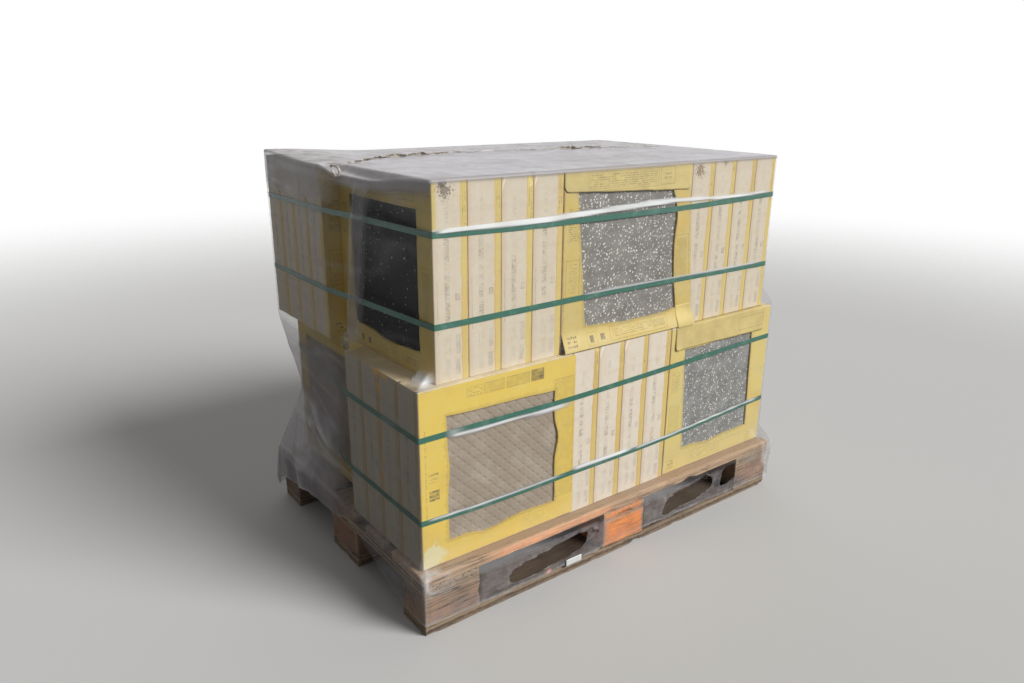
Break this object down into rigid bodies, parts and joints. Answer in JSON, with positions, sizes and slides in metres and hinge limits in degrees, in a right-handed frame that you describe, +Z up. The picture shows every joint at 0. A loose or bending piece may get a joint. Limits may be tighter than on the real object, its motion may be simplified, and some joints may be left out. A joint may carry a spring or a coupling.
{
  "type": "strapped pallet load",
  "caption": "Pallet load of square stone tiles in cardboard packs on a wooden block pallet, held by green straps under a clear film hood.",
  "frame": {"origin": "on the floor, under the middle of the pallet", "axes": "+X along the pallet's long side, +Y from the front long side to the back one, +Z up"},
  "size_m": [1.2102, 0.8102, 0.9934],
  "materials": {
    "pallet_wood": "sawn, worn and grey",
    "card": "matt, yellow and cream",
    "tile_dark": "ground terrazzo with pale chips",
    "tile_taupe": "matt, with a low quilted relief",
    "strap": "smooth embossed strapping",
    "film": "clear, creased"
  },
  "bodies": {
    "root": {"block_back_left": "pallet_wood", "block_back_middle": "pallet_wood", "block_back_right": "pallet_wood", "block_front_left": "pallet_wood", "block_front_middle": "pallet_wood", "block_front_right": "pallet_wood", "block_middle_left": "pallet_wood", "block_middle_middle": "pallet_wood", "block_middle_right": "pallet_wood", "bottom_board_back": "pallet_wood", "bottom_board_front": "pallet_wood", "bottom_board_middle": "pallet_wood", "film_hood": "film", "strap_bottom": "strap", "strap_lower": "strap", "strap_top": "strap", "strap_upper": "strap", "stringer_left": "pallet_wood", "stringer_middle": "pallet_wood", "stringer_right": "pallet_wood", "tiles_lower_back_left": "tile_taupe", "tiles_lower_back_middle": "tile_taupe", "tiles_lower_back_right": "tile_dark", "tiles_lower_front_left": "tile_taupe", "tiles_lower_front_middle": "tile_taupe", "tiles_lower_front_right": "tile_dark", "tiles_upper_back_left": "tile_dark", "tiles_upper_back_middle": "tile_dark", "tiles_upper_back_right": "tile_dark", "tiles_upper_front_left": "tile_dark", "tiles_upper_front_middle": "tile_dark", "tiles_upper_front_right": "tile_dark", "top_board_back": "pallet_wood", "top_board_back_inner": "pallet_wood", "top_board_front": "pallet_wood", "top_board_front_inner": "pallet_wood", "top_board_middle": "pallet_wood", "wraps_lower_back_left": "card", "wraps_lower_back_middle": "card", "wraps_lower_back_right": "card", "wraps_lower_front_left": "card", "wraps_lower_front_middle": "card", "wraps_lower_front_right": "card", "wraps_upper_back_left": "card", "wraps_upper_back_middle": "card", "wraps_upper_back_right": "card", "wraps_upper_front_left": "card", "wraps_upper_front_middle": "card", "wraps_upper_front_right": "card"}
  },
  "joints": []
}
